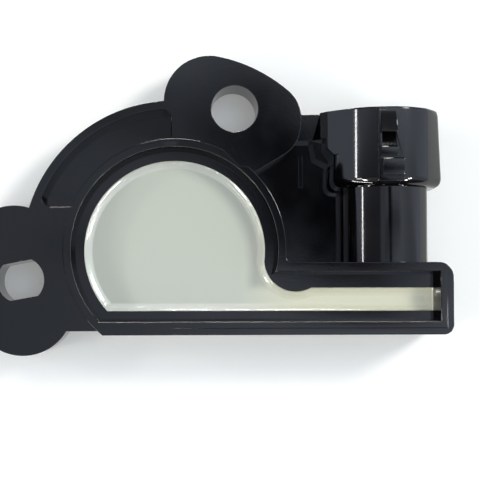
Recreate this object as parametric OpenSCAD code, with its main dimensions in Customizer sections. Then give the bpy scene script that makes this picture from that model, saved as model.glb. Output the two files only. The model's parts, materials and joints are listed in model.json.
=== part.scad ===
// Throttle position sensor with a potted pan, two screw ears and a side connector.
// The rotor's axis is the Z axis, and the mounting face is the plane z = 0.
// The potted side faces +Z, the arm runs to +X and the connector's mouth faces +Y.

/* [Flange and ears] */
// Thickness of the flange and of both ears
ear_t = 8; // [7.2:0.1:9]
// Radius of the web's outer edge, about the rotor's axis
web_r = 24; // [23:0.1:25]
// Width of the raised rim along the web's outer edge
web_rim_w = 1.33; // [1:0.01:2]
// Depth of the pocket in the web between the ears
web_pocket_depth = 3.7; // [1:0.1:5]
// Height of the flange's straight lower edge
flange_low_y = -12.5; // [-13:0.1:-11.5]
// Distance from the rotor's axis to the centre of each screw hole
bolt_r = 24.6; // [24:0.1:25.2]
// Direction of the upper screw hole
upper_hole_angle = 67.3; // [66:0.1:69]
// Direction of the left screw slot
left_slot_angle = 190.4; // [188:0.1:192]
// Diameter of the upper screw hole
screw_hole_d = 7.4; // [6:0.1:8]
// Length of the left screw slot, along its flats
slot_len = 7.3; // [6.4:0.1:8]
// Width of the left screw slot, across its flats
slot_w = 5.8; // [5:0.1:6.2]
// Radius of the left ear's two lobes
left_lobe_r = 7.9; // [7:0.1:8.5]
// Radius of the upper ear's large lobe
upper_lobe_r = 7.3; // [6.5:0.1:8]
// Radius of the upper ear's small lobe
small_lobe_r = 5.8; // [5:0.1:6.5]
// Radius of the rounded toe below the small lobe
toe_r = 5.4; // [4.5:0.1:5.6]

/* [Pan] */
// Outer radius of the pan's round wall
pan_r = 17; // [16.7:0.05:17.4]
// Height of the pan's rim
pan_h = 15; // [14:0.1:16]
// Width of the rim's flat top
rim_w = 1.2; // [0.9:0.05:1.4]
// How far the wall's foot stands in from the rim's inner edge
wall_draft = 0.4; // [0.1:0.05:0.6]
// Height of the ledge inside the pan
ledge_z = 11; // [10.9:0.1:12]
// Radius of the potted pocket
fill_r = 14; // [13.8:0.05:14.3]
// Height of the pan's straight lower side
pan_low_y = -12.98; // [-13.4:0.01:-12.6]
// Width of the lower and end walls, two bands together
thick_wall = 2.05; // [1.9:0.05:2.4]
// Width of the outer band on the lower and end walls
band_w = 1; // [0.6:0.1:1.3]
// How far the outer band lies below the rim
band_step = 0.25; // [0.1:0.05:0.6]
// Thickness of the pan's front wall, next to the throttle body
front_wall = 1.8; // [1.2:0.1:2]
// Height of the arm's underside above the mounting face
arm_under = 1; // [0:0.1:1.5]
// Height of the arm's upper side
arm_top_y = -1.88; // [-2.4:0.01:-1.5]
// Thickness of the arm's upper wall
arm_wall = 1.41; // [1.2:0.01:1.6]
// Radius of the arm's upper outer corner
arm_corner_r = 2.3; // [1:0.1:3]
// Radius of the arm's lower outer corner
arm_foot_r = 1.5; // [0.5:0.1:2.5]
// Radius of the outer fillet between the pan and the arm
pan_fillet_r = 0.8; // [0.3:0.1:2]
// Height of the potted channel's lower side
fill_low_y = -9.32; // [-9.6:0.01:-9.2]
// Width of the potted channel in the arm
channel_w = 3.58; // [3.5:0.01:3.7]
// Radius of the ledge's corner between the pan and the arm
fill_corner_r = 4.9; // [4:0.1:5.2]

/* [Connector] */
// Distance from the rotor's axis to the connector's axis
conn_x = 33.25; // [32.5:0.05:34]
// Height of the connector's axis
conn_z = 8; // [7.9:0.02:8.1]
// Distance from the connector's axis to the arm's end
arm_reach = 9.45; // [9:0.05:10]
// Half the neck's width
neck_half_w = 6.2; // [5.8:0.05:6.5]
// Half the neck's height
neck_half_h = 6.2; // [5.8:0.05:6.4]
// Radius of the neck's broad upper and lower arcs
neck_top_r = 7.4; // [6.8:0.05:8]
// Slope of the neck's four flanks, which run on from the broad arcs
neck_flank = 40; // [36:1:42]
// Width of the eased corner between a flank and the neck's upright side
neck_ease = 0.4; // [0.2:0.05:0.6]
// Length of the neck between the arm and the collar
neck_len = 11.7; // [11:0.1:12.4]
// Length of the collar
collar_len = 12.15; // [11.6:0.05:13]
// Half the collar's width
collar_half_w = 8.5; // [8:0.05:9]
// Half the collar's height
collar_half_h = 7.4; // [7:0.05:7.8]
// Radius of the collar's broad upper and lower arcs
collar_top_r = 9.2; // [8.8:0.05:9.8]
// Radius of the collar's four shoulders
collar_shoulder_r = 1.45; // [1:0.05:1.6]
// Height of the shoulders above and below the connector's axis
collar_shoulder_z = 2.2; // [1.8:0.05:2.5]
// Radius of the socket's sides
socket_side_r = 5; // [4.5:0.05:5.4]
// How far the collar's sides draw in from its rear to its mouth
collar_draft = 0.4; // [0.1:0.05:0.6]
// Wall of the collar round its socket
collar_wall = 1.5; // [1.2:0.05:1.8]
// Rounding of the collar's rear edge
collar_round = 1.4; // [0.5:0.1:2]
// Thickness of the socket's floor
socket_floor = 2; // [1.4:0.1:3]
// Distance between neighbouring blades
blade_pitch = 4.2; // [4:0.05:4.4]
// Width of a blade
blade_w = 1.5; // [1.3:0.05:1.7]
// Distance from the mouth to the blades' tips
blade_inset = 2.4; // [1.5:0.1:4]
// Width of the latch rail on the collar
latch_w = 4; // [3.6:0.1:5]
// Height of the latch ramp above the collar
latch_h = 1.5; // [0.8:0.1:2]

/* [Web and gusset] */
// Height of the sunk web between the pan and the connector
low_web_z = 3.5; // [2:0.1:4.5]
// Height of the shelf that ties the upper ear to the collar
shelf_z = 6.5; // [5.5:0.1:7.5]
// Depth of that shelf, along the connector
shelf_d = 4.2; // [3:0.1:5]
// Length of the gusset on the collar's left side
gusset_len = 7; // [6:0.1:8]
// How far the gusset's foot stands out from the collar
gusset_w = 3.25; // [2:0.05:4]

/* [Inside] */
// Thickness of the resistor board
board_t = 0.8; // [0.6:0.05:0.9]
// Height of the shelf that carries the board
board_z = 6.8; // [6.75:0.05:6.85]
// Width of that shelf
board_shelf = 1.1; // [0.8:0.05:1.3]
// Thickness of the printed tracks and conductors
print_t = 0.1; // [0.05:0.01:0.12]
// Thickness of the stamped terminals
terminal_t = 0.8; // [0.7:0.05:0.85]
// Width of a terminal's run along the arm
run_w = 0.8; // [0.6:0.05:0.9]
// Distance between neighbouring runs
run_pitch = 1.2; // [1.15:0.01:1.25]
// Thickness of the cover plate under the potting
cover_t = 0.8; // [0.5:0.05:1]
// Height of the potting's surface
potting_z = 10.8; // [10.5:0.05:10.9]
// Radius of the rotor's journal
journal_r = 4.8; // [4.5:0.05:5]
// Radius of the drive socket
drive_r = 3.2; // [3:0.05:3.4]
// Distance from the axis to the drive socket's flat
drive_flat = 2.4; // [2.2:0.05:2.6]
// Depth of the drive socket
drive_depth = 4.3; // [4.1:0.05:4.5]
// Radius of the rotor's disc
disc_r = 7.4; // [7.2:0.05:7.6]
// Thickness of the rotor's disc
disc_t = 1.2; // [0.9:0.05:1.3]
// Reach of the rotor's wiper arm
wiper_arm_r = 11.6; // [11.2:0.05:11.8]
// Radius of the rotor's pivot pin
pivot_r = 1.4; // [1:0.05:1.6]
// Diameter of the return spring's wire
spring_wire = 0.5; // [0.4:0.02:0.55]
// Coils of the return spring
spring_turns = 2.75; // [1.75:1:2.75]
// Travel of the rotor, from the closed stop to the open one
travel = 95; // [80:1:100]

/* [Hidden] */
$fn = 96;
eps = 0.01;
fit_gap = 0.1;
run_gap = 0.05;

// Places of the ears
upper_hole = polar(bolt_r, upper_hole_angle);
left_slot = polar(bolt_r, left_slot_angle);
upper_lobe = polar(bolt_r - 0.1, upper_hole_angle + 9.6);
small_lobe = polar(bolt_r + 0.95, upper_hole_angle - 11.4);
toe = polar(bolt_r + 0.15, upper_hole_angle - 13.4);
ear_root = polar(pan_r - 0.5, upper_hole_angle - 21.4);
left_lobe_spread = 9.1;
left_lobe_at = bolt_r + 0.65;
left_arc_r = 26.3;
upper_arc_r = 24.8;

// Straight edges and corners of the pocket between the ears
pocket_low_y = 7.1;
pocket_right_x = -0.6;
pocket_corner_r = 1.4;

// Walls and levels of the pan
rim_r = pan_r - rim_w;
foot_r = rim_r - wall_draft;
rim_low_y = pan_low_y + thick_wall;
rim_high_y = arm_top_y - arm_wall;
arm_end_x = conn_x + arm_reach;
rim_end_x = arm_end_x - thick_wall;
fill_end_x = rim_end_x - wall_draft;
fill_high_y = fill_low_y + channel_w;
fill_corner_y = -1.45;
fill_corner_bite = 0.05;
fill_corner = [sqrt(pow(fill_r + fill_corner_r - fill_corner_bite, 2) - pow(fill_corner_y, 2)),
    fill_corner_y];
fill_corner_reach = 2.6;
cavity_r = fill_r - board_shelf;
cavity_low_y = fill_low_y + 0.6;

// Distance of the broad arcs' centres from the connector's axis
collar_drop = collar_top_r - collar_half_h;
neck_drop = neck_top_r - neck_half_h;
// How deep the gusset's upper end is sunk into the collar
collar_bite = 0.05;

// Low rib on the sunk web: its place, and its width, length and height
web_rib_at = [20, 10.6];
web_rib = [0.7, 5, 0.35];

// Round marks that the mould's ejector pins leave in the ears
ejector_at = [[10.5, 16.8], [-17.4, -7.9]];
ejector_r = 1.45;
ejector_depth = 0.04;

// Latch: the rail's left side, and distances from the mouth
latch_x = -2.2;
ramp_end = 4.1;
block_at = 6.05;
stop_at = 8;

// Levels of the pieces inside
terminal_z = board_z + board_t;
rivet_head_t = 0.25;
cover_z = terminal_z + terminal_t + rivet_head_t + 0.05;
cover_top = cover_z + cover_t;
disc_z = 4.1;
disc_top = disc_z + disc_t;
washer_gap = 0.03;
washer_t = 0.14;
sleeve_top = disc_z - washer_t - 2 * washer_gap;
sleeve_r = journal_r + run_gap + 1.25;
rotor_low = 0.4;
seal_r = journal_r + 1.75;
seal_depth = 0.9;
pivot_top = cover_z + 0.2;
track_z = board_z - print_t;
wiper_gap = 0.06;

// Rotor at rest: its arm's direction, the half angle that the arm covers and its stops
rest_angle = 145;
arm_half = 13;
stop_gap = 1.5;
stop_w = 6;
tab_angle = rest_angle - 93;
tab_w = 8;
spring_end_angle = tab_angle - 2.7;
spring_post_r = 0.7;

// Inner and outer radii of the printed tracks and of the two curved leads
signal_r = [pivot_r + 2, pivot_r + 3];
collector_r = [disc_r - 1.2, disc_r + 0.4];
resistive_r = [wiper_arm_r - 2.4, wiper_arm_r - 0.7];
supply_r = [cavity_r - 1.5, cavity_r - 0.5];
finger_w = 0.5;
finger_r = [collector_r[0] + 0.45, collector_r[1] - 0.45, resistive_r[0] + 0.5, resistive_r[1] - 0.5];
stop_inner_r = disc_r + 1.8;

// Terminals: the run's height and the blade's place, from the innermost run outwards
mouth_y = arm_top_y + neck_len + collar_len;
collar_y = mouth_y - collar_len;
blade_tip_y = mouth_y - blade_inset;
rivet_r = 0.4;
rivet_head_r = 0.7;
rivet_lift = 0.8;
eye_r = 0.9;
rivet_at = [for (i = [0:2]) [fill_r - 3.8 - 2 * i, run_y(i) + rivet_lift]];
blade_chamfer = 0.45;

function polar(r, a) = [r * cos(a), r * sin(a)];
function run_y(i) = fill_high_y - 0.59 - run_pitch * i;
function blade_x(i) = conn_x + blade_pitch * (i - 1);

// Centre of the arc of radius r that two lobes touch from inside, p before q anticlockwise
function arc_centre(p, rp, q, rq, r) = let (d = norm(q - p), u = (q - p) / d,
    a = (pow(r - rp, 2) - pow(r - rq, 2) + d * d) / (2 * d), h = sqrt(pow(r - rp, 2) - a * a))
    p + a * u + h * [-u.y, u.x];

// Sliver between a square corner at [x, y] and the arc that rounds it
module corner(x, y, sx, sy, r) {
    translate([x, y]) mirror([sx < 0 ? 1 : 0, 0]) mirror([0, sy < 0 ? 1 : 0])
        difference() {
            translate([-eps, -eps]) square(r + eps);
            translate([r, r]) circle(r);
        }
}

// Four-sided web between two circles, along their outer tangents
module tangent_web(p, rp, q, rq) {
    away = q - p;
    a = atan2(away.y, away.x);
    b = acos((rp - rq) / norm(away));
    polygon([p + polar(rp, a + b), p + polar(rp, a - b), q + polar(rq, a - b), q + polar(rq, a + b)]);
}

// Fillet between the outside of a circle about the origin and a level line above it
module circle_line_fillet(r, y, f) {
    c = [sqrt(pow(r + f, 2) - pow(y + f, 2)), y + f];
    difference() {
        polygon([[sqrt(r * r - y * y) - 0.2, y - eps], [c.x, y - eps], c, c * r / (r + f),
            c * (r - 0.2) / (r + f)]);
        translate(c) circle(f);
    }
}

// Oval of four arcs, with half width a, half height b and side radius r
module oval(a, b, r) {
    c = a - r;
    d = (pow(b - r, 2) - c * c) / (2 * (r - b));
    big = b + d;
    x_join = big * c / (big - r);
    for (s = [-1, 1]) translate([s * c, 0]) circle(r);
    intersection() {
        translate([0, -d]) circle(big, $fn = 160);
        translate([0, d]) circle(big, $fn = 160);
        square([2 * x_join, 4 * b], center = true);
    }
}

// Ear boss: two lobes joined by an arc of radius r that both of them touch from inside
module ear_boss(p, rp, q, rq, r) {
    c = arc_centre(p, rp, q, rq, r);
    translate(p) circle(rp);
    translate(q) circle(rq);
    intersection() {
        translate(c) circle(r, $fn = 160);
        polygon([c, c + 2 * (p - c), c + 2 * (q - c)]);
    }
}

module left_ear_2d() {
    lobes = [for (s = [-1, 1]) polar(left_lobe_at, left_slot_angle + s * left_lobe_spread)];
    ear_boss(lobes[0], left_lobe_r, lobes[1], left_lobe_r, left_arc_r);
    polygon([[0, 0], lobes[0], lobes[1]]);
}

module upper_ear_2d() {
    ear_boss(small_lobe, small_lobe_r, upper_lobe, upper_lobe_r, upper_arc_r);
    translate(toe) circle(toe_r);
    tangent_web(toe, toe_r, ear_root, eps);
    polygon([[0, 0], ear_root, toe, small_lobe, upper_lobe]);
}

// Crescent pocket between the ears, with rounded corners
module web_pocket_2d() {
    r = web_r - web_rim_w;
    f = pocket_corner_r;
    low = [-sqrt(pow(r - f, 2) - pow(pocket_low_y + f, 2)), pocket_low_y + f];
    high = [pocket_right_x - f, sqrt(pow(r - f, 2) - pow(pocket_right_x - f, 2))];
    difference() {
        intersection() {
            circle(r, $fn = 160);
            translate([-2 * r, pocket_low_y]) square([2 * r + pocket_right_x, 2 * r]);
        }
        circle(pan_r - eps);
        difference() {
            polygon([low, [low.x, pocket_low_y - 1], [-r, pocket_low_y - 1], low * (r + 1) / (r - f)]);
            translate(low) circle(f);
        }
        difference() {
            polygon([high, [pocket_right_x + 1, high.y], [pocket_right_x + 1, r + 1],
                high * (r + 1) / (r - f)]);
            translate(high) circle(f);
        }
    }
}

module flange_2d() {
    intersection() {
        circle(web_r, $fn = 160);
        translate([-web_r, flange_low_y]) square([web_r + upper_lobe.x, 2 * web_r]);
    }
    left_ear_2d();
    upper_ear_2d();
}

// Round part of the pan, cut off straight below
module pan_round_2d() {
    intersection() {
        circle(pan_r);
        translate([-pan_r, pan_low_y]) square([2 * pan_r, 2 * pan_r]);
    }
}

module arm_2d() {
    difference() {
        translate([0, pan_low_y]) square([arm_end_x, arm_top_y - pan_low_y]);
        corner(arm_end_x, arm_top_y, -1, -1, arm_corner_r);
        corner(arm_end_x, pan_low_y, -1, 1, arm_foot_r);
    }
    circle_line_fillet(pan_r, arm_top_y, pan_fillet_r);
}

// Clearance beside the upper hole, where the pan's wall is dressed back for the screw's head
module head_notch_2d() {
    a = upper_hole_angle;
    polygon([polar(pan_r + 0.1, a - 2.3), polar(pan_r - 0.8, a - 14.7), polar(pan_r, a - 18.7),
        polar(pan_r + 2, a - 17.3), polar(pan_r + 2, a - 5.3)]);
}

// Space above the ledge: the wall leans outwards from its foot to the rim
module upper_well() {
    h = pan_h - ledge_z;
    over = 1 + h;
    slope = wall_draft / h;
    translate([0, 0, ledge_z]) intersection() {
        cylinder(h = over, r1 = foot_r, r2 = foot_r + slope * over);
        translate([-pan_r, 0, 0]) rotate([90, 0, 90]) linear_extrude(2 * pan_r)
            polygon([[rim_low_y + wall_draft, 0], [pan_r, 0], [pan_r, over],
                [rim_low_y + wall_draft - slope * over, over]]);
    }
    translate([0, 0, ledge_z]) intersection() {
        rotate([90, 0, 90]) linear_extrude(arm_end_x)
            polygon([[rim_low_y + wall_draft, 0], [rim_high_y - wall_draft, 0],
                [rim_high_y - wall_draft + slope * over, over],
                [rim_low_y + wall_draft - slope * over, over]]);
        translate([0, pan_r, 0]) rotate([90, 0, 0]) linear_extrude(2 * pan_r)
            polygon([[0, 0], [rim_end_x - wall_draft, 0],
                [rim_end_x - wall_draft + slope * over, over], [0, over]]);
    }
}

// Outline of the potted pocket, drawn in by a gap on every side
module fill_2d(gap = 0) {
    high = fill_high_y - gap;
    low = fill_low_y + gap;
    touch = fill_corner * (fill_r - 1) / norm(fill_corner);
    intersection() {
        circle(fill_r - gap);
        translate([-fill_r, low]) square([2 * fill_r, 2 * fill_r]);
    }
    difference() {
        union() {
            translate([0, low]) square([fill_end_x - gap, high - low]);
            polygon([[0, low], [fill_corner.x, low], fill_corner, touch]);
        }
        translate(fill_corner) circle(fill_corner_r + gap);
    }
}

// The same outline below the cover, where the runs pass under the ledge's corner
module lower_fill_2d() {
    fill_2d();
    translate([fill_corner.x - fill_corner_reach, fill_low_y])
        square([2 * fill_corner_reach, channel_w]);
}

// Room for the rotor below the board
module cavity_2d() {
    intersection() {
        circle(cavity_r);
        translate([-cavity_r, cavity_low_y]) square([2 * cavity_r, 2 * cavity_r]);
    }
}

module sector_2d(r0, r1, a0, a1) {
    span = a1 - a0;
    intersection() {
        difference() {
            circle(r1);
            circle(r0);
        }
        polygon(concat([[0, 0]], [for (k = [0:6]) polar(2 * r1, a0 + span * k / 6)]));
    }
}

// Post on the front wall that holds the return spring's lower leg
module spring_post() {
    r = spring_r() + 1.45;
    lag = (spring_wire / 2 + spring_post_r + run_gap) / r * 180 / PI;
    p = polar(r, spring_end_angle - 360 * spring_turns - lag);
    translate([p.x, p.y, front_wall - eps]) cylinder(h = 1.4, r = spring_post_r);
}

// Posts on the front wall that stop the rotor's arm at both ends of its travel
module stop_posts() {
    closed = rest_angle + arm_half + stop_gap;
    open = rest_angle - travel - arm_half - stop_gap;
    translate([0, 0, front_wall - eps]) linear_extrude(disc_top - front_wall) intersection() {
        cavity_2d();
        union() {
            sector_2d(stop_inner_r, cavity_r + 1, closed, closed + stop_w);
            sector_2d(stop_inner_r, cavity_r + 1, open - stop_w, open);
        }
    }
}

module connector_at(y) {
    translate([conn_x, y, conn_z]) rotate([-90, 0, 0]) children();
}

// Neck in section: two broad arcs, four sloping flanks with eased corners and two upright sides
module neck_2d() {
    crown = [0, -neck_drop];
    flank_from = crown + (neck_top_r - eps) * [sin(neck_flank), cos(neck_flank)];
    flank_w = neck_half_w - neck_ease - flank_from.x;
    flank_to = flank_from + flank_w * [1, -tan(neck_flank)];
    q = [flank_from, flank_to, flank_to + neck_ease * [1, -2]];
    intersection() {
        translate(crown) circle(neck_top_r, $fn = 144);
        translate(-crown) circle(neck_top_r, $fn = 144);
        square([2 * flank_from.x + flank_w, 4 * neck_half_h], center = true);
    }
    polygon(concat(q, [for (i = [2:-1:0]) [q[i].x, -q[i].y]], -q, [for (i = [2:-1:0]) [-q[i].x, q[i].y]]));
}

// Collar in section, drawn in all round and its sides by more: two broad arcs between four shoulders
module collar_2d(inset, sides) {
    c = collar_half_w - collar_shoulder_r - sides;
    intersection() {
        translate([0, -collar_drop]) circle(collar_top_r - inset, $fn = 144);
        translate([0, collar_drop]) circle(collar_top_r - inset, $fn = 144);
        square([2 * c - 1, 4 * collar_half_h], center = true);
    }
    for (x = [-c, c], y = [-collar_shoulder_z, collar_shoulder_z]) translate([x, y])
        circle(collar_shoulder_r - inset, $fn = 32);
}

// Collar body with a rounded rear edge and an eased mouth
module collar_outer() {
    steps = [[0, 1], [0.35, 0.42], [0.8, 0.12], [1.4, 0]];
    mouth = [[0.9, 0, 0], [0.3, 0, 0.15], [eps, collar_bite - eps, 0.35]];
    grow = collar_round / 1.4;
    connector_at(collar_y) hull() {
        for (s = steps) translate([0, 0, s.x * grow]) linear_extrude(eps) collar_2d(s.y * grow, 0);
        for (s = mouth) translate([0, 0, collar_len - s.x]) linear_extrude(eps)
            collar_2d(s.y, collar_draft + s.z);
    }
}

module socket_space() {
    w = collar_wall;
    connector_at(collar_y + socket_floor) linear_extrude(collar_len)
        oval(collar_half_w - w, collar_half_h - w, socket_side_r);
}

// Raised shape on the collar's top: a side view of points [distance from the mouth, height]
module on_top(x0, x1, side) {
    top = conn_z + collar_half_h;
    translate([conn_x + x0, 0, 0]) rotate([90, 0, 90]) linear_extrude(x1 - x0)
        polygon([for (p = side) [mouth_y - p.x, top + p.y]]);
}

// Latch: a rail, a ramp with a hollow behind its steep back, a low block and a stop block
module latch() {
    rail_h = 0.35;
    on_top(latch_x, latch_x + latch_w, [[0.6, -1], [0.6, rail_h], [collar_len - 0.6, rail_h],
        [collar_len - 0.6, -1]]);
    on_top(-1.82, 0.64, [[0.8, -1], [0.8, rail_h], [ramp_end, latch_h], [ramp_end, -1]]);
    on_top(-1.82, 0.8, [[block_at, -1], [block_at, 0.7], [block_at + 0.3, 0.9], [block_at + 1.6, 0.9],
        [block_at + 1.6, -1]]);
    on_top(-1.68, 1.7, [[stop_at, -1], [stop_at, 1.15], [stop_at + 0.15, 1.3], [stop_at + 1.4, 1.3],
        [stop_at + 2.7, 1.26], [stop_at + 2.7, -1]]);
}

// Hollow behind the ramp: its floor falls towards the ramp's back
module latch_hollow() {
    on_top(-1.6, 0.5, [[ramp_end, 3], [ramp_end, -0.4], [block_at, 0.3], [block_at, 3]]);
}

// Gusset on the collar's left side: it carries the flank on to a shoulder, and slopes to the shelf
module gusset() {
    left = conn_x - collar_half_w;
    foot = [left - gusset_w, shelf_z];
    shoulder_r = 1;
    shoulder = [left - 0.01, conn_z + 1.41];
    crown = [conn_x, conn_z - collar_drop];
    rear_y = mouth_y - gusset_len;
    intersection() {
        translate([0, mouth_y, 0]) rotate([90, 0, 0]) linear_extrude(gusset_len) {
            translate(shoulder) circle(shoulder_r);
            tangent_web(crown, collar_top_r - collar_bite, shoulder, shoulder_r);
            tangent_web(shoulder, shoulder_r, foot, eps);
            polygon([[foot.x, 0], foot, shoulder, crown, [conn_x, 0]]);
        }
        linear_extrude(2 * conn_z) polygon([[foot.x + 1.5, mouth_y], [foot.x + 0.4, mouth_y - shelf_d],
            [left - shoulder_r, mouth_y - shelf_d - 0.1], [left - shoulder_r, rear_y + 1.3],
            [left + 0.1, rear_y], [conn_x, rear_y], [conn_x, mouth_y]]);
    }
    linear_extrude(shelf_z) polygon([[foot.x + 1.5, mouth_y], [foot.x + 0.4, mouth_y - shelf_d],
        [foot.x + 0.9, rear_y], [left, rear_y - 1.2], [conn_x, rear_y - 1.2], [conn_x, mouth_y]]);
}

module low_web() {
    linear_extrude(low_web_z) polygon([[0, arm_top_y - 1], [conn_x, arm_top_y - 1], [conn_x, mouth_y - 1],
        small_lobe, toe, [0, 12]]);
    translate([small_lobe.x, mouth_y - shelf_d, 0]) cube([conn_x - small_lobe.x, shelf_d, shelf_z]);
    translate(concat(web_rib_at, low_web_z - eps)) cube(web_rib);
}

module drive_profile_2d() {
    intersection() {
        circle(drive_r);
        translate([-drive_r - 1, -drive_r - 1]) square([2 * drive_r + 2, drive_r + 1 + drive_flat]);
    }
}

// Stamped terminal: an eye on the board, a run along the arm and a blade in the socket
module terminal_2d(i) {
    y = run_y(i);
    x = blade_x(i);
    half = blade_w / 2;
    translate(rivet_at[i]) circle(eye_r);
    translate([rivet_at[i].x, y - run_w / 2]) square([x - rivet_at[i].x, run_w]);
    translate([x - half, y - run_w / 2])
        square([2 * half, blade_tip_y - blade_chamfer - y + run_w / 2]);
    polygon([[x - half, blade_tip_y - blade_chamfer - eps], [x + half, blade_tip_y - blade_chamfer - eps],
        [x + half - blade_chamfer, blade_tip_y], [x - half + blade_chamfer, blade_tip_y]]);
}

module terminal(i) {
    color("#c9c6bd") translate([0, 0, terminal_z]) linear_extrude(terminal_t) difference() {
        terminal_2d(i);
        translate(rivet_at[i]) circle(rivet_r + run_gap);
    }
}

module printed(tint) {
    color(tint) translate([0, 0, track_z]) linear_extrude(print_t) difference() {
        children();
        for (p = rivet_at) translate(p) circle(rivet_r + run_gap);
    }
}

module housing() {
    color("#23262b") difference() {
        union() {
            linear_extrude(ear_t) flange_2d();
            linear_extrude(pan_h) pan_round_2d();
            translate([0, 0, arm_under]) linear_extrude(pan_h - arm_under) arm_2d();
            low_web();
            connector_at(arm_top_y - arm_wall / 2) linear_extrude(neck_len + 2) neck_2d();
            collar_outer();
            gusset();
            latch();
        }
        // Outer screw hole, slot and pocket
        translate([upper_hole.x, upper_hole.y, -1]) cylinder(h = ear_t + 2, d = screw_hole_d);
        translate([left_slot.x, left_slot.y, -1]) rotate(left_slot_angle) linear_extrude(ear_t + 2)
            intersection() {
                circle(d = slot_len);
                square([2 * slot_len, slot_w], center = true);
            }
        translate([0, 0, ear_t - web_pocket_depth]) linear_extrude(web_pocket_depth + 1) web_pocket_2d();
        translate([0, 0, ear_t]) linear_extrude(pan_h) head_notch_2d();
        for (p = ejector_at) translate([p.x, p.y, ear_t - ejector_depth]) cylinder(h = 1, r = ejector_r);
        // Stepped band outside the lower and end rims
        translate([0, pan_low_y - 1, pan_h - band_step]) cube([arm_end_x + 1, 1 + band_w, 1]);
        translate([arm_end_x - band_w, pan_low_y - 1, pan_h - band_step])
            cube([band_w + 1, arm_top_y - pan_low_y + 2, 1]);
        // Inside of the pan and the arm
        upper_well();
        translate([0, 0, board_z]) linear_extrude(ledge_z - board_z + eps) intersection() {
            fill_2d();
            translate([-fill_r, fill_low_y]) square([2 * fill_r, 2 * fill_r]);
        }
        translate([0, 0, terminal_z]) linear_extrude(cover_z - terminal_z) lower_fill_2d();
        translate([0, 0, terminal_z]) linear_extrude(ledge_z - terminal_z + eps) fill_2d();
        translate([0, 0, front_wall]) linear_extrude(board_z) cavity_2d();
        // Bore for the rotor and seat of its seal
        translate([0, 0, -1]) cylinder(h = front_wall + 2, r = journal_r + run_gap);
        translate([0, 0, -1]) cylinder(h = seal_depth + 1, r = seal_r);
        // Socket and the slots that the blades fill
        socket_space();
        latch_hollow();
        for (i = [0:2]) translate([blade_x(i) - blade_w / 2, run_y(i), terminal_z])
            cube([blade_w, collar_y + socket_floor - run_y(i) + eps, terminal_t]);
    }
    color("#23262b") difference() {
        translate([0, 0, front_wall - eps]) cylinder(h = sleeve_top - front_wall + eps, r = sleeve_r);
        translate([0, 0, -1]) cylinder(h = sleeve_top + 2, r = journal_r + run_gap);
    }
    color("#23262b") {
        stop_posts();
        spring_post();
    }
}

module potting_compound() {
    color("#c8cbc3") translate([0, 0, cover_top]) linear_extrude(potting_z - cover_top) fill_2d();
}

// Cover plate with a skirt that holds the board down and a boss that guides the rotor's pin
module cover_plate() {
    boss_z = terminal_z + run_gap;
    color("#3b3f42") difference() {
        union() {
            translate([0, 0, cover_z]) linear_extrude(cover_t) fill_2d(fit_gap);
            translate([0, 0, terminal_z]) linear_extrude(cover_z - terminal_z + eps) intersection() {
                difference() {
                    circle(fill_r - fit_gap);
                    circle(cavity_r);
                }
                translate([-fill_r, -3]) square([2 * fill_r, 2 * fill_r]);
            }
            translate([0, 0, boss_z]) cylinder(h = cover_z - boss_z + eps, r = pivot_r + 1.6);
        }
        translate([0, 0, boss_z - 1]) cylinder(h = pivot_top - boss_z + 1.15, r = pivot_r + run_gap);
    }
}

module resistor_board() {
    color("#b9b29c") translate([0, 0, board_z]) linear_extrude(board_t) difference() {
        intersection() {
            circle(fill_r - fit_gap);
            translate([-fill_r, fill_low_y + fit_gap]) square([2 * fill_r, 2 * fill_r]);
        }
        circle(pivot_r + 0.6);
        for (p = rivet_at) translate(p) circle(rivet_r + run_gap);
    }
}

module resistive_track() {
    color("#1d1d20") translate([0, 0, track_z]) linear_extrude(print_t)
        sector_2d(resistive_r[0], resistive_r[1], 60, 178);
}

module collector_track() {
    color("#2a2a2e") translate([0, 0, track_z]) linear_extrude(print_t)
        sector_2d(collector_r[0], collector_r[1], 70, 186);
}

module conductor_supply() {
    printed("#b8b8b4") {
        sector_2d(supply_r[0], supply_r[1], -28, 63);
        sector_2d(resistive_r[0], supply_r[1], 56, 59.9);
        translate(rivet_at[0]) circle(eye_r);
    }
}

module conductor_signal() {
    printed("#b8b8b4") {
        sector_2d(signal_r[0], signal_r[1], -48, 70);
        sector_2d(signal_r[0], collector_r[1], 64, 69.9);
        tangent_web(polar(signal_r[0] + 0.5, -46), 0.5, rivet_at[1], 0.5);
        translate(rivet_at[1]) circle(eye_r);
    }
}

module conductor_ground() {
    start_at = [-resistive_r[0] - 0.8, -0.2];
    corner_at = [-resistive_r[0] - 0.1, rivet_at[2].y];
    printed("#b8b8b4") {
        sector_2d(resistive_r[0], resistive_r[1], 178.1, 184);
        tangent_web(start_at, 0.5, corner_at, 0.5);
        translate(corner_at) circle(0.5);
        tangent_web(corner_at, 0.5, rivet_at[2], 0.5);
        translate(rivet_at[2]) circle(0.7);
    }
}

module terminal_supply() { terminal(0); }
module terminal_signal() { terminal(1); }
module terminal_ground() { terminal(2); }

module terminal_rivets() {
    top = terminal_z + terminal_t;
    color("#a9a294") for (p = rivet_at) translate([p.x, p.y, 0]) {
        translate([0, 0, track_z - rivet_head_t]) cylinder(h = rivet_head_t, r = rivet_head_r);
        translate([0, 0, track_z - eps]) cylinder(h = top - track_z + 2 * eps, r = rivet_r);
        translate([0, 0, top]) cylinder(h = rivet_head_t, r = rivet_head_r);
    }
}

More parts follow.
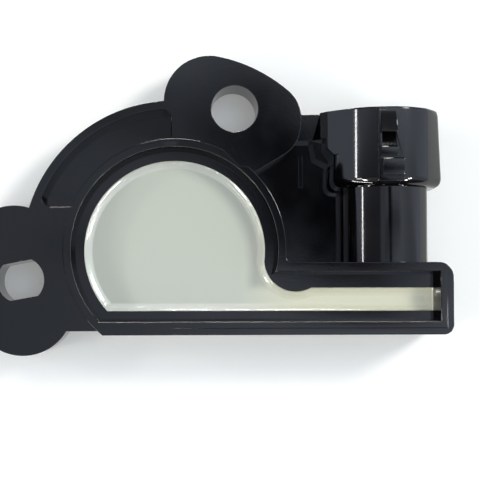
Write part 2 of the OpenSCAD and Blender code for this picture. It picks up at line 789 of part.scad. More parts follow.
// Rotor: journal with a flat-sided drive socket, disc, wiper arm, spring lug and pivot pin
module rotor() {
    color("#dcd8cc") difference() {
        union() {
            translate([0, 0, rotor_low]) cylinder(h = disc_z - rotor_low + eps, r = journal_r);
            translate([0, 0, disc_z]) linear_extrude(disc_t) {
                circle(disc_r);
                sector_2d(journal_r, wiper_arm_r, rest_angle - arm_half, rest_angle + arm_half);
                sector_2d(journal_r, disc_r + 1.2, tab_angle, tab_angle + 2 * tab_w);
            }
            translate([0, 0, disc_z - 1.2]) linear_extrude(1.2 + eps)
                sector_2d(disc_r + 0.2, disc_r + 1.2, tab_angle, tab_angle + tab_w);
            cylinder(h = pivot_top, r = pivot_r);
        }
        translate([0, 0, -1]) linear_extrude(rotor_low + drive_depth + 1) drive_profile_2d();
        translate([0, 0, rotor_low - eps]) cylinder(h = 0.5, r1 = drive_r + 0.5, r2 = drive_r - 0.05);
    }
}

// Spring finger in section: a flat foot, a rising leaf and a turned-up tip that rides the track
module wiper_finger(r) {
    foot_z = disc_top;
    tip_z = track_z - wiper_gap;
    t = 0.12;
    translate([r - finger_w / 2, 0, 0]) rotate([90, 0, 90]) linear_extrude(finger_w)
        polygon([[-0.6, foot_z], [0.9, foot_z], [3.3, tip_z - 0.32], [3.7, tip_z - t], [4.1, tip_z - 0.3],
            [4.2, tip_z - 0.2], [3.8, tip_z], [3.6, tip_z], [3.15, tip_z - 0.2], [0.85, foot_z + t],
            [-0.6, foot_z + t]]);
}

module wiper_contact() {
    color("#c2b280") rotate(rest_angle) {
        for (r = finger_r) wiper_finger(r);
        translate([collector_r[0], -1.6, disc_top]) cube([resistive_r[1] - collector_r[0], 1.6, 0.12]);
    }
}

// Return spring: the wire's centre line as a coil with a straight leg at each end
function spring_r() = sleeve_r + 0.4 + spring_wire / 2;
function spring_path() = let (low = front_wall + 0.05 + spring_wire / 2,
    high = disc_z - 0.15 - spring_wire / 2, n = round(spring_turns * 24),
    start = spring_end_angle - 360 * spring_turns, r = spring_r())
    concat([[(r + 2) * cos(start), (r + 2) * sin(start), low]],
        [for (k = [0:n]) let (a = start + 360 * spring_turns * k / n)
            [r * cos(a), r * sin(a), low + (high - low) * k / n]],
        [[(r + 1.5) * cos(spring_end_angle), (r + 1.5) * sin(spring_end_angle), high]]);

module wire(path, r, sides = 8) {
    n = len(path);
    dirs = [for (i = [0:n - 1]) let (d = path[min(i + 1, n - 1)] - path[max(i - 1, 0)]) d / norm(d)];
    rings = [for (i = [0:n - 1]) let (side = cross(dirs[i], [0, 0, 1]), u = side / norm(side),
        v = cross(u, dirs[i])) for (k = [0:sides - 1]) let (a = 360 * k / sides)
            path[i] + r * (cos(a) * u + sin(a) * v)];
    sides_faces = [for (i = [0:n - 2], k = [0:sides - 1]) let (j = (k + 1) % sides)
        [i * sides + k, (i + 1) * sides + k, (i + 1) * sides + j, i * sides + j]];
    polyhedron(rings, concat([[for (k = [0:sides - 1]) k]], sides_faces,
        [[for (k = [sides - 1:-1:0]) (n - 1) * sides + k]]));
}

module return_spring() {
    color("#9aa0a6") wire(spring_path(), spring_wire / 2);
}

module thrust_washer() {
    color("#d8d2c0") translate([0, 0, sleeve_top + washer_gap]) difference() {
        cylinder(h = washer_t, r = sleeve_r - 0.1);
        translate([0, 0, -1]) cylinder(h = 3, r = journal_r + fit_gap);
    }
}

module rotor_seal() {
    color("#1a1a1a") translate([0, 0, 0.1]) difference() {
        cylinder(h = seal_depth - 0.15, r = seal_r - run_gap);
        translate([0, 0, -1]) cylinder(h = 3, r = journal_r + run_gap);
    }
}

housing();
potting_compound();
cover_plate();
resistor_board();
resistive_track();
collector_track();
conductor_supply();
conductor_signal();
conductor_ground();
terminal_supply();
terminal_signal();
terminal_ground();
terminal_rivets();
rotor();
wiper_contact();
return_spring();
thrust_washer();
rotor_seal();
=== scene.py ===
# %% [markdown]
# # A potted throttle sensor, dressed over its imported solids
# The real object is a glossy black moulding. A pale resin fills its pan and its arm.
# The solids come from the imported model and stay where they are. This script gives
# them small rounded edges, real finishes, a floor, lights and a camera.
# All lengths are in metres, and MM turns a millimetre into metres.

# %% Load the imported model
import json
import math

import bmesh
import bpy
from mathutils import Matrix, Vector

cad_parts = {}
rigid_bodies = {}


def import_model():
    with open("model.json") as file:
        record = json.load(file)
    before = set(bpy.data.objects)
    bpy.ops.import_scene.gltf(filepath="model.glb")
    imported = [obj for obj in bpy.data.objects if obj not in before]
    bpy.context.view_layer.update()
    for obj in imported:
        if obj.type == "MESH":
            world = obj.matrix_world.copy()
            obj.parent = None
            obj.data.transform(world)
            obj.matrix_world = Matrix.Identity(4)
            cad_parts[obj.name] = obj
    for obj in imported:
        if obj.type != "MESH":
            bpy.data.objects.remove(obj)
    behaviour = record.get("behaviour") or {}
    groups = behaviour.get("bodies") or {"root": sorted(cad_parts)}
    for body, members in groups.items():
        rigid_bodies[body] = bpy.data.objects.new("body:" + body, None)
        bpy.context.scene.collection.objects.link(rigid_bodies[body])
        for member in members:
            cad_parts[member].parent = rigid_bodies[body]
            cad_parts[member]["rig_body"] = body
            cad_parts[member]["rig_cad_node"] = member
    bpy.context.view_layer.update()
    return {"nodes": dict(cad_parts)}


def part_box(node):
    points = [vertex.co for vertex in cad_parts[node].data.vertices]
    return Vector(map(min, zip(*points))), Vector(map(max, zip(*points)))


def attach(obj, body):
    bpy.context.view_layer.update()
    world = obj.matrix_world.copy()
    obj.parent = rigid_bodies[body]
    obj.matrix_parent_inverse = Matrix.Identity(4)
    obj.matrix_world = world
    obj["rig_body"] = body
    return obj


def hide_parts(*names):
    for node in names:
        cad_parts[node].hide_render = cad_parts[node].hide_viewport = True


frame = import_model()
nodes = frame["nodes"]
scene = bpy.context.scene
MM = 0.001

# %% [markdown]
# The photograph looks almost straight down, from about 200 mm above the part. The lens
# is long for the frame, so walls lean outwards only a little. A camera can be aimed
# at the middle of the part, or it can look straight down with its picture shifted.
# Here it does some of both, because a large shift would push the part out of the
# frame when somebody looks from another side.

# %% Place the camera
CAMERA_AT = (0.82 * MM, -7.98 * MM, 197.1 * MM)
CAMERA_TURN = (0.03197, -0.02981, -0.00226)
CAMERA_SHIFT = 0.05

camera_data = bpy.data.cameras.new("camera")
camera_data.sensor_width = 36
camera_data.lens = 90
camera_data.shift_x = CAMERA_SHIFT
camera_data.shift_y = CAMERA_SHIFT
camera_data.clip_start = 0.01
camera = bpy.data.objects.new("camera", camera_data)
camera.location = CAMERA_AT
camera.rotation_euler = CAMERA_TURN
scene.collection.objects.link(camera)
scene.camera = camera
print("camera height in mm:", CAMERA_AT[2] / MM)

# %% [markdown]
# Each finish is a small recipe of nodes round one Principled shader. A number that is
# the same all over is set on the shader's own socket. The rest comes from patterns.


# %% Helpers for materials
def new_material(name, base, roughness, metallic=0.0, ior=1.5):
    """A new Principled material, with its node tree and its shader."""
    material = bpy.data.materials.new(name)
    material.use_nodes = True
    shader = material.node_tree.nodes["Principled BSDF"]
    shader.inputs["Base Color"].default_value = (*base, 1)
    shader.inputs["Roughness"].default_value = roughness
    shader.inputs["Metallic"].default_value = metallic
    shader.inputs["IOR"].default_value = ior
    return material, material.node_tree, shader


def add_node(tree, kind, **settings):
    """A new node. A setting is an input's default, or else a property of the node."""
    node = tree.nodes.new(kind)
    for name, value in settings.items():
        if name in node.inputs:
            node.inputs[name].default_value = value
        else:
            setattr(node, name, value)
    return node


# %% [markdown]
# A pattern could be a picture wrapped round the piece, but noise needs no unwrapping.
# It reads the object's own coordinates, so it stays put when the camera or a joint
# moves. Two scales do most of the work: a fine one for the grain of the mould, and a
# wide one for the slight waviness that makes reflections on a real moulding wander.


# %% Helpers for patterns
def object_place(tree, stretch=(1, 1, 1)):
    """Object coordinates, stretched along the axes where the stretch is small."""
    where = add_node(tree, "ShaderNodeTexCoord")
    mapping = add_node(tree, "ShaderNodeMapping")
    mapping.inputs["Scale"].default_value = stretch
    tree.links.new(where.outputs["Object"], mapping.inputs["Vector"])
    return mapping.outputs["Vector"]


def noise(tree, place, size_mm, detail=2.0):
    """Noise whose blobs are about size_mm across."""
    node = add_node(tree, "ShaderNodeTexNoise", Scale=1 / (size_mm * MM), Detail=detail)
    tree.links.new(place, node.inputs["Vector"])
    return node.outputs["Fac"]


def map_range(tree, value, low, high, to_low=0.0, to_high=1.0, interpolation="LINEAR"):
    """to_low below low, to_high above high. A high below low turns it round."""
    node = add_node(tree, "ShaderNodeMapRange", interpolation_type=interpolation)
    limits = (("From Min", low), ("From Max", high), ("To Min", to_low), ("To Max", to_high))
    for name, number in limits:
        node.inputs[name].default_value = number
    tree.links.new(value, node.inputs["Value"])
    return node.outputs["Result"]


def vary(tree, fac, socket, low, high, from_low=0.3, from_high=0.7):
    """A pattern drives a number between low and high."""
    tree.links.new(map_range(tree, fac, from_low, from_high, low, high), socket)


def vary_color(tree, fac, socket, stops):
    """A pattern picks a colour from a row of (position, colour) stops."""
    node = add_node(tree, "ShaderNodeValToRGB")
    elements = node.color_ramp.elements
    for index, (position, color) in enumerate(stops):
        stop = elements[index] if index < 2 else elements.new(position)
        stop.position = position
        stop.color = (*color, 1)
    tree.links.new(fac, node.inputs["Fac"])
    tree.links.new(node.outputs["Color"], socket)


def bump(tree, fac, shader, depth_mm, after=None):
    """Small height from noise. The real relief of the part is in its mesh."""
    node = add_node(tree, "ShaderNodeBump", Strength=1.0, Distance=depth_mm * MM)
    tree.links.new(fac, node.inputs["Height"])
    if after is not None:
        tree.links.new(after.outputs["Normal"], node.inputs["Normal"])
    tree.links.new(node.outputs["Normal"], shader.inputs["Normal"])
    return node


# %% [markdown]
# The housing is a glass-filled moulding, almost black, with a soft shine. Its colour
# hardly matters: nearly all that the camera gets from it is a reflection of the room.
# So the care goes into the roughness and into two very shallow bumps. A faint brown
# and a faint green cast in the black come from the wide noise.

# %% Housing material
housing_black, tree, shader = new_material("housing_black", (0.0015, 0.0017, 0.002), 0.09)
place = object_place(tree)
vary(tree, noise(tree, place, 6), shader.inputs["Roughness"], 0.07, 0.12)
vary_color(tree, noise(tree, place, 9, 3.0), shader.inputs["Base Color"], [
    (0.35, (0.0008, 0.0014, 0.0018)),
    (0.5, (0.0012, 0.0012, 0.0016)),
    (0.68, (0.0034, 0.0014, 0.0018)),
])
wavy = bump(tree, noise(tree, place, 14, 1.0), shader, 0.03)
bump(tree, noise(tree, place, 0.35, 2.0), shader, 0.0024, after=wavy)
print("housing finish, nodes:", len(tree.nodes))

# %% [markdown]
# The resin's surface isn't one flat face. From its edge on the wall it falls steeply,
# then gently for about a millimetre, down to the level pool. In section that is an
# arc, a straight slope, a short soft crease and the pool. The section is kept as a row
# of rings, each with a width and a fall in millimetres, because both the mesh and the
# finish need it.

# %% Section of the resin's edge
RESIN_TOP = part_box("potting_compound")[1].z
EDGE_RISE = 0.22
CREEP_R = 0.7
CREEP_TILT = 60
CREEP_STEPS = 6
SLOPE_TILT = 20
SLOPE_W = 0.85
CREASE_TILT = 10
CREASE_W = 0.06
LEVEL_W = 0.03

step = math.radians(CREEP_TILT - SLOPE_TILT) / CREEP_STEPS
rings = []
for k in range(CREEP_STEPS):
    tilt = math.radians(CREEP_TILT) - (k + 0.5) * step
    rings.append((CREEP_R * step * math.cos(tilt), CREEP_R * step * math.sin(tilt)))
creep_fall = sum(fall for width, fall in rings)
rings.append((SLOPE_W, SLOPE_W * math.tan(math.radians(SLOPE_TILT))))
rings.append((CREASE_W, CREASE_W * math.tan(math.radians(CREASE_TILT))))
rings.append((LEVEL_W, 0))
edge_z = RESIN_TOP + EDGE_RISE * MM
pool_z = edge_z - sum(fall for width, fall in rings) * MM
print("pool in mm:", round(pool_z / MM, 2), "edge:", round(edge_z / MM, 2))

# %% [markdown]
# The resin is poured in warm. It is a pale grey beige, a little creamier in the narrow
# channel of the arm, and lighter there as well: painted light that lifts the channel out
# of the shade of its walls. On the slope the colour is paler: painted light, standing for
# the light that the slope catches. Where the resin creeps up the wall it is glossy and
# uneven, which breaks the light into small white strokes. An image could mark these
# zones, but place alone tells them apart: the arm's limits are millimetres along X, the
# paler slope's are millimetres above the pool, and the brink's are millimetres below the
# creep's foot.

# %% Resin material
POOL_COLOR = (0.56, 0.585, 0.485)
# The slope's paler colour is painted light: it stands for the light that the slope catches.
SLOPE_LIGHT_COLOR = (0.68, 0.70, 0.61)
# The arm's colour is a creamier tone and, beyond that, lighter: painted light against the shade
# of the channel's walls.
ARM_TONE_AND_LIGHT_COLOR = (0.71, 0.70, 0.52)
ARM_STARTS, ARM_FULL = 10, 19
SLOPE_LIGHT_STARTS, SLOPE_LIGHT_FULL = 0.01, 0.06
BRINK_STARTS, BRINK_FULL = 0.14, 0.04


def product(tree, first, second):
    """One pattern, masked by another."""
    node = add_node(tree, "ShaderNodeMath", operation="MULTIPLY")
    tree.links.new(first, node.inputs[0])
    tree.links.new(second, node.inputs[1])
    return node.outputs["Value"]


resin, tree, shader = new_material("resin", POOL_COLOR, 0.2, ior=1.48)
shader.inputs["Specular IOR Level"].default_value = 1.0
place = object_place(tree)
at = add_node(tree, "ShaderNodeSeparateXYZ")
tree.links.new(place, at.inputs["Vector"])
foot_z = edge_z - creep_fall * MM
brink = map_range(tree, at.outputs["Z"], foot_z - BRINK_STARTS * MM, foot_z - BRINK_FULL * MM)
vary(tree, brink, shader.inputs["Roughness"], 0.2, 0.07, 0.0, 1.0)
in_arm = map_range(tree, at.outputs["X"], ARM_STARTS * MM, ARM_FULL * MM)
# From just above the pool the colour turns paler: painted light on the slope.
painted_slope_light = map_range(tree, at.outputs["Z"], pool_z + SLOPE_LIGHT_STARTS * MM, pool_z + SLOPE_LIGHT_FULL * MM)
mix = add_node(tree, "ShaderNodeMix", data_type="RGBA")
tree.links.new(painted_slope_light, mix.inputs["Factor"])
# Along the arm the colour turns creamier and lighter: partly its own tone, partly painted light.
vary_color(tree, in_arm, mix.inputs["A"], [(0.0, POOL_COLOR), (1.0, ARM_TONE_AND_LIGHT_COLOR)])
vary_color(tree, in_arm, mix.inputs["B"], [(0.0, SLOPE_LIGHT_COLOR), (1.0, ARM_TONE_AND_LIGHT_COLOR)])
tree.links.new(mix.outputs["Result"], shader.inputs["Base Color"])
wavy = bump(tree, noise(tree, place, 9, 1.0), shader, 0.04)
grain = bump(tree, noise(tree, place, 0.4, 2.0), shader, 0.003, after=wavy)
bump(tree, product(tree, brink, noise(tree, place, 0.5, 2.0)), shader, 0.055, after=grain)
print("resin finish, nodes:", len(tree.nodes))

# %% [markdown]
# The other finishes are hidden in the photograph or face away from it: tinned
# blades in the socket, the off-white rotor and the rubber seal under the part, and
# the printed board inside. They get plain versions of the same recipe.


# %% Materials of the small pieces
def simple_finish(name, base, darker, roughness, metallic=0.0, blob_mm=1.0, grain_mm=0.3,
                  stretch=(1, 1, 1)):
    """Coarse noise for the shine and the colour, fine noise for the grain."""
    material, tree, shader = new_material(name, base, roughness, metallic)
    place = object_place(tree, stretch)
    coarse = noise(tree, place, blob_mm, 3.0)
    vary(tree, coarse, shader.inputs["Roughness"], roughness * 0.8, min(1.0, roughness * 1.25))
    vary_color(tree, coarse, shader.inputs["Base Color"], [(0.35, darker), (0.65, base)])
    bump(tree, noise(tree, place, grain_mm), shader, 0.002)
    return material


ALONG_Y = (1, 0.12, 1)
tinned = simple_finish("terminal_tin", (0.72, 0.70, 0.66), (0.62, 0.59, 0.54), 0.28, 1.0,
                       blob_mm=0.8, grain_mm=0.15, stretch=ALONG_Y)
rotor_white = simple_finish("rotor_white", (0.66, 0.63, 0.55), (0.60, 0.57, 0.49), 0.42,
                            blob_mm=2.5, grain_mm=0.25)
seal_rubber = simple_finish("seal_rubber", (0.016, 0.016, 0.016), (0.009, 0.009, 0.009), 0.6,
                            blob_mm=1.5, grain_mm=0.2)
cover_grey = simple_finish("cover_grey", (0.055, 0.055, 0.06), (0.045, 0.045, 0.05), 0.5)
board = simple_finish("board", (0.40, 0.34, 0.20), (0.34, 0.28, 0.16), 0.45)
carbon_ink = simple_finish("carbon_ink", (0.02, 0.02, 0.022), (0.012, 0.012, 0.014), 0.6)
silver_ink = simple_finish("silver_ink", (0.55, 0.55, 0.53), (0.46, 0.46, 0.44), 0.45, 0.6)
rivet_brass = simple_finish("rivet_brass", (0.70, 0.55, 0.28), (0.62, 0.47, 0.22), 0.3, 1.0)
wiper_alloy = simple_finish("wiper_alloy", (0.72, 0.62, 0.42), (0.64, 0.54, 0.35), 0.25, 1.0)
spring_steel = simple_finish("spring_steel", (0.52, 0.52, 0.54), (0.44, 0.44, 0.46), 0.25, 1.0)
washer_film = simple_finish("washer_film", (0.62, 0.50, 0.28), (0.56, 0.44, 0.24), 0.35)


def paint(obj, material):
    """The object wears this one material all over."""
    obj.data.materials.clear()
    obj.data.materials.append(material)


for name, material in (
    ("cover_plate", cover_grey),
    ("resistor_board", board),
    ("resistive_track", carbon_ink),
    ("collector_track", carbon_ink),
    ("conductor_supply", silver_ink),
    ("conductor_signal", silver_ink),
    ("conductor_ground", silver_ink),
    ("terminal_rivets", rivet_brass),
    ("wiper_contact", wiper_alloy),
    ("return_spring", spring_steel),
    ("thrust_washer", washer_film),
    ("rotor_seal", seal_rubber),
):
    paint(nodes[name], material)
print("materials:", len(bpy.data.materials))

# %% [markdown]
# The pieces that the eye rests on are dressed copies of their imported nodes. An operator
# works on all that is selected, so the first helper makes sure that a single object
# is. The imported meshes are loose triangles, so a copy is merged, and its flat faces
# are joined up, before a bevel can find the true edges.


# %% Helpers for selecting and copying
MERGE_MM = 0.002
FLAT_DEG = 0.4


def select_only(obj):
    bpy.ops.object.select_all(action="DESELECT")
    obj.select_set(True)
    bpy.context.view_layer.objects.active = obj


def merged_copy(node_name, piece_name):
    """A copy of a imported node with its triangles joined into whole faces."""
    select_only(nodes[node_name])
    bpy.ops.object.duplicate()
    piece = bpy.context.active_object
    piece.name = piece.data.name = piece_name
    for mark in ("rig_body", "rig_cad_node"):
        del piece[mark]
    bpy.ops.object.parent_clear(type="CLEAR")
    bpy.ops.mesh.customdata_custom_splitnormals_clear()
    bpy.ops.object.mode_set(mode="EDIT")
    bpy.ops.mesh.select_all(action="SELECT")
    bpy.ops.mesh.remove_doubles(threshold=MERGE_MM * MM)
    bpy.ops.mesh.dissolve_limited(angle_limit=math.radians(FLAT_DEG))
    bpy.ops.object.mode_set(mode="OBJECT")
    return piece


def stand_for(piece, node_name):
    """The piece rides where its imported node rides, and takes its place in the picture."""
    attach(piece, nodes[node_name]["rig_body"])
    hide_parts(node_name)


# %% [markdown]
# A moulding never has a perfectly sharp edge, and the thin bright line on such an edge
# is most of what the eye reads as plastic. A bevel could take every edge alike. Here
# each sharp outer edge gets a weight instead, so that a place with little room can
# have a smaller radius, and inner corners stay as they are.


# %% Helper for rounding edges
SHARP_DEG = 32
SMOOTH_DEG = 40
BEVEL_SEGMENTS = 2


def whole_radius(place):
    return 1.0


def round_edges(piece, radius_mm, share=whole_radius):
    """Round the sharp outer edges. share says how much of the radius an edge gets at a place."""
    mesh = bmesh.new()
    mesh.from_mesh(piece.data)
    weight = mesh.edges.layers.float.new("bevel_weight_edge")
    rounded = 0
    for edge in mesh.edges:
        if edge.is_convex and edge.calc_face_angle(0) > math.radians(SHARP_DEG):
            edge[weight] = share((edge.verts[0].co + edge.verts[1].co) / 2 / MM)
            rounded += 1
    mesh.to_mesh(piece.data)
    mesh.free()
    print(piece.name, "edges to round:", rounded)
    select_only(piece)
    bpy.ops.object.modifier_add(type="BEVEL")
    bevel = piece.modifiers[-1]
    bevel.limit_method = "WEIGHT"
    bevel.width = radius_mm * MM
    bevel.segments = BEVEL_SEGMENTS
    bevel.use_clamp_overlap = False
    bevel.miter_outer = "MITER_ARC"
    bpy.ops.object.modifier_apply(modifier=bevel.name)
    bpy.ops.object.shade_smooth_by_angle(angle=math.radians(SMOOTH_DEG))
    bpy.ops.object.modifier_add(type="WEIGHTED_NORMAL")
    weighted = piece.modifiers[-1]
    weighted.keep_sharp = True
    bpy.ops.object.modifier_apply(modifier=weighted.name)
    piece.data.calc_loop_triangles()
    print(piece.name, "triangles:", len(piece.data.loop_triangles))


# %% [markdown]
# The housing is one moulding, so it is one piece here as well. Its edges are rounded
# by a tenth of a millimetre or so, as a polished steel mould leaves them. The web
# between the ears is sunk and has thin ribs, and the ears carry two shallow round
# ejector marks. A whole radius would swallow both, so they get a small share of it.

# %% Housing
HOUSING_EDGE_MM = 0.13
EJECTOR_MARKS = ((10.5, 16.8), (-17.4, -7.9))
MARK_R = 1.45
MARK_BAND = 0.06
MARK_SHARE = 0.1
EAR_TOP = 8.0
WEB_LEFT, WEB_RIGHT, WEB_NEAR, WEB_CEILING = 16, 27, -1, 7
WEB_SHARE = 0.3


def housing_share(place):
    """Less rounding on the sunk web's low edges, and next to none on the ejector marks."""
    from_marks = [abs(math.hypot(place.x - x, place.y - y) - MARK_R) for x, y in EJECTOR_MARKS]
    if EAR_TOP - 0.1 < place.z < EAR_TOP + 0.01 and min(from_marks) < MARK_BAND:
        return MARK_SHARE
    if WEB_LEFT < place.x < WEB_RIGHT and place.y > WEB_NEAR and place.z < WEB_CEILING:
        return WEB_SHARE
    return 1.0


housing = merged_copy("housing", "housing_moulding")
round_edges(housing, HOUSING_EDGE_MM, share=housing_share)
paint(housing, housing_black)
stand_for(housing, "housing")

# %% [markdown]
# A sculpted surface could give the resin its edge, but it would be hard to repeat. The
# top face is inset ring by ring instead, and each ring is lowered by its own fall. The
# last ring has no fall, which keeps the pool truly level up to the crease.

# %% Resin fill
RESIN_SMOOTH_DEG = 50
FACES_UP = 0.9
NEAR_TOP_MM = 0.05

resin_fill = merged_copy("potting_compound", "resin_fill")
select_only(resin_fill)
bpy.ops.object.mode_set(mode="EDIT")
bpy.ops.mesh.select_all(action="DESELECT")
bpy.ops.mesh.select_mode(type="FACE")
bpy.ops.object.mode_set(mode="OBJECT")
for face in resin_fill.data.polygons:
    face.select = face.normal.z > FACES_UP and face.center.z > RESIN_TOP - NEAR_TOP_MM * MM
bpy.ops.object.mode_set(mode="EDIT")
bpy.ops.transform.translate(value=(0, 0, EDGE_RISE * MM))
for width, fall in rings:
    bpy.ops.mesh.inset(thickness=width * MM, depth=0)
    bpy.ops.transform.translate(value=(0, 0, -fall * MM))
bpy.ops.object.mode_set(mode="OBJECT")
bpy.ops.object.shade_smooth_by_angle(angle=math.radians(RESIN_SMOOTH_DEG))
paint(resin_fill, resin)
stand_for(resin_fill, "potting_compound")
print("resin top in mm:", round(max(v.co.z for v in resin_fill.data.vertices) / MM, 2))

# %% [markdown]
# The rotor is a small moulding, and the blades are stamped from strip, so their edges
# are crisp. They could be modelled afresh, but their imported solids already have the
# true shapes and fits. A copy with a finer edge than the housing's is enough.

# %% Rotor and terminals
for node_name, piece_name, radius_mm, slot_name, material in (
    ("rotor", "drive_rotor", 0.08, "rotor_white", rotor_white),
    ("terminal_supply", "blade_supply", 0.06, "terminal_tin", tinned),
    ("terminal_signal", "blade_signal", 0.06, "terminal_tin", tinned),
    ("terminal_ground", "blade_ground", 0.06, "terminal_tin", tinned),
):
    piece = merged_copy(node_name, piece_name)
    round_edges(piece, radius_mm)
    paint(piece, material)
    stand_for(piece, node_name)

# %% [markdown]
# The part lies on a plain white ground, which the photograph shows overexposed. A
# curved backdrop could stand behind it, but from above one large plane is enough. A
# little light of its own keeps the ground white near the part and inside the holes.

# %% Floor
FLOOR_SIZE = 3.0
FLOOR_GLOW = 0.18

bpy.ops.object.select_all(action="DESELECT")
bpy.ops.mesh.primitive_plane_add(size=FLOOR_SIZE, location=(0, 0, 0))
floor = bpy.context.active_object
floor.name = "floor"
floor_white, tree, shader = new_material("floor_white", (0.89, 0.89, 0.86), 0.6)
shader.inputs["Emission Color"].default_value = (1, 1, 0.94, 1)
shader.inputs["Emission Strength"].default_value = FLOOR_GLOW
paint(floor, floor_white)
print("floor side in m:", FLOOR_SIZE)

# %% [markdown]
# Black gloss shows the room and little else, so the light is built as a room. The
# world's own nodes can hold such a room: its brightness is worked out from the
# direction alone. A direction is given by two leans from straight up: one towards +X,
# which is the picture's right, and one towards +Y, which is its top.

# %% Room: directions and helpers
LOWEST_UP = 0.02

world = bpy.data.worlds.new("room")
scene.world = world
world.use_nodes = True
tree = world.node_tree
background = tree.nodes["Background"]
toward = add_node(tree, "ShaderNodeSeparateXYZ")
tree.links.new(add_node(tree, "ShaderNodeTexCoord").outputs["Generated"], toward.inputs["Vector"])


def maths(operation, *values):
    """A math node of the room. A value is a number or another node's output."""
    node = add_node(tree, "ShaderNodeMath", operation=operation)
    for index, value in enumerate(values):
        if isinstance(value, (int, float)):
            node.inputs[index].default_value = value
        else:
            tree.links.new(value, node.inputs[index])
    return node.outputs["Value"]


def times(first, *others):
    for other in others:
        first = maths("MULTIPLY", first, other)
    return first


def soft_step(value, low, high, at_low, at_high):
    return map_range(tree, value, low, high, at_low, at_high, "SMOOTHSTEP")


def lean_step(lean, low, high, at_low, at_high):
    """A soft step between two leans, which are in degrees."""
    return soft_step(lean, math.radians(low), math.radians(high), at_low, at_high)


up = maths("MAXIMUM", toward.outputs["Z"], LOWEST_UP)
lean_x = maths("ARCTAN2", toward.outputs["X"], up)
lean_y = maths("ARCTAN2", toward.outputs["Y"], up)
print("world nodes:", len(tree.nodes))

# %% [markdown]
# The ceiling is a broad cool white panel. It has a darker stretch on the left, it is
# brighter towards the picture's top, and it grows dim far out at the top and the foot.

# %% Room: the ceiling panel
stretch_right = lean_step(lean_x, -22, -13, 0.0, 1.0)
stretch_left = lean_step(lean_x, -62, -52, 1.0, 0.0)
stretch_level = lean_step(lean_y, 4, 12, 0.33, 0.85)
panel = maths("MAXIMUM", maths("MAXIMUM", stretch_right, stretch_left), stretch_level)
slant = times(lean_step(lean_x, -8, 10, 0.68, 1.3), lean_step(lean_x, 20, 60, 1.0, 0.62))
away = lean_step(lean_y, 8, 13, 1.0, 1.5)
far_side = soft_step(toward.outputs["Y"], 0.28, 0.5, 1.0, 0.15)
near_side = soft_step(toward.outputs["Y"], -0.5, -0.28, 0.15, 1.0)
ceiling = times(panel, slant, away, far_side, near_side)
background.inputs["Color"].default_value = (0.88, 0.98, 1.16, 1)
print("world nodes:", len(tree.nodes))

# %% [markdown]
# The camera hides a part of the ceiling, and the flat web and the pan's rim show that
# as a dark place. It is built from three soft dark ovals: a deep core, a lighter
# edge, and a band that runs off to both sides.


# %% Room: what the camera hides
def dark_oval(centre, radii, turn, fade, depth):
    """A soft dark oval in the room, placed and sized in degrees from overhead."""
    turn = math.radians(turn)
    from_x = maths("SUBTRACT", lean_x, math.radians(centre[0]))
    from_y = maths("SUBTRACT", lean_y, math.radians(centre[1]))
    along = maths("ADD", times(from_x, math.cos(turn)), times(from_y, math.sin(turn)))
    across = maths("SUBTRACT", times(from_y, math.cos(turn)), times(from_x, math.sin(turn)))
    u = maths("DIVIDE", along, math.radians(radii[0]))
    v = maths("DIVIDE", across, math.radians(radii[1]))
    reach = maths("SQRT", maths("ADD", times(u, u), times(v, v)))
    return soft_step(reach, fade[0], fade[1], depth, 1.0)


core = dark_oval((6.1, 5.5), (8.6, 3.4), -59, (0.4, 1.3), 0.05)
lighter_edge = dark_oval((3.8, 7.1), (8.7, 1.6), -20, (0.81, 1.8), 0.41)
band = dark_oval((14, 3.6), (20.1, 1.4), 2.4, (0.88, 1.12), 0.32)
tree.links.new(times(ceiling, core, lighter_edge, band), background.inputs["Strength"])
print("world nodes:", len(tree.nodes))

# %% [markdown]
# A warm panel stands in front, mostly on the left. No flat face shows it to the
# camera, so it only softens the shade on the near side of walls and on the ground.

# %% Room: the front panel
front_top = lean_step(lean_y, -16, -7, 1.0, 0.0)
front_foot = lean_step(lean_y, -70, -55, 0.0, 1.0)
front_left = lean_step(lean_x, -30, 10, 0.45, 0.05)
front = add_node(tree, "ShaderNodeBackground", Color=(1.0, 0.97, 0.86, 1))
tree.links.new(times(front_top, front_foot, front_left), front.inputs["Strength"])
both = add_node(tree, "ShaderNodeAddShader")
tree.links.new(background.outputs["Background"], both.inputs[0])
tree.links.new(front.outputs["Background"], both.inputs[1])
tree.links.new(both.outputs["Shader"], tree.nodes["World Output"].inputs["Surface"])
print("world nodes:", len(tree.nodes))

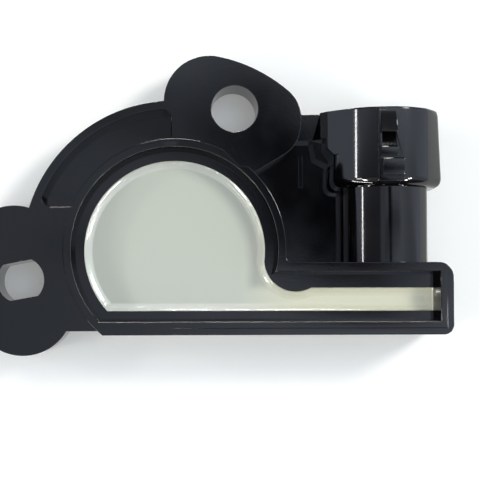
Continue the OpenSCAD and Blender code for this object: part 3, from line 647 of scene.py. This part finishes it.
# %% [markdown]
# A room of directions alone gives no crisp light, so a few lamps are added. A low
# window on the left draws the bright columns on the neck and the collar. A key lamp
# from the right lights the resin's left and near edges. Small bright cards that only
# gloss can see draw the strokes along the resin's brink, and a long strip draws the
# line under the collar, as white cards do in a photo studio.

# %% Lamps
CENTRE = (0.01, 0.0, 0.01)
LAMP_FAR = 0.6
WHITE = (1, 1, 1)
WARM = (1, 0.97, 0.9)


def lamp(name, at, width, height, power, color=WHITE, gloss_only=False):
    """A rectangular lamp at a place, turned to the part."""
    data = bpy.data.lights.new(name, "AREA")
    data.shape = "RECTANGLE"
    data.size, data.size_y = width, height
    data.energy = power
    data.color = color
    obj = bpy.data.objects.new(name, data)
    obj.location = at
    obj.rotation_euler = (Vector(CENTRE) - Vector(at)).to_track_quat("-Z", "Y").to_euler()
    obj.visible_diffuse = not gloss_only
    scene.collection.objects.link(obj)


def lamp_around(name, azimuth, elevation, width, height, power, gloss_only=False):
    """A warm lamp at an azimuth from +X and an elevation, both in degrees."""
    a, e = math.radians(azimuth), math.radians(elevation)
    at = (LAMP_FAR * math.cos(e) * math.cos(a), LAMP_FAR * math.cos(e) * math.sin(a),
          LAMP_FAR * math.sin(e))
    lamp(name, at, width, height, power, WARM, gloss_only)


lamp("window", (-0.52, 0.09, 0.30), 0.16, 0.03, 0.5)
lamp_around("key_lamp", 29, 44, 0.11, 0.11, 1.5)
lamp_around("left_lamp", 196, 35, 0.12, 0.12, 0.7)
lamp("front_left_strip", (-0.35, -0.45, 0.15), 0.5, 0.02, 2.2, gloss_only=True)
for name, azimuth, elevation, width, power in (
    ("card_0", -43, 38, 0.13, 2.0),
    ("card_1", -17, 40, 0.12, 1.6),
    ("card_2", 91, 38, 0.25, 3.6),
    ("card_3", 220, 38, 0.12, 2.0),
    ("card_4", 268, 38, 0.05, 0.4),
):
    lamp_around(name, azimuth, elevation, width, 0.03, power, gloss_only=True)

# %% [markdown]
# The colours should come out as the camera saw them, so the plain view transform is
# set.

# %% Set the view transform
scene.view_settings.view_transform = "Standard"
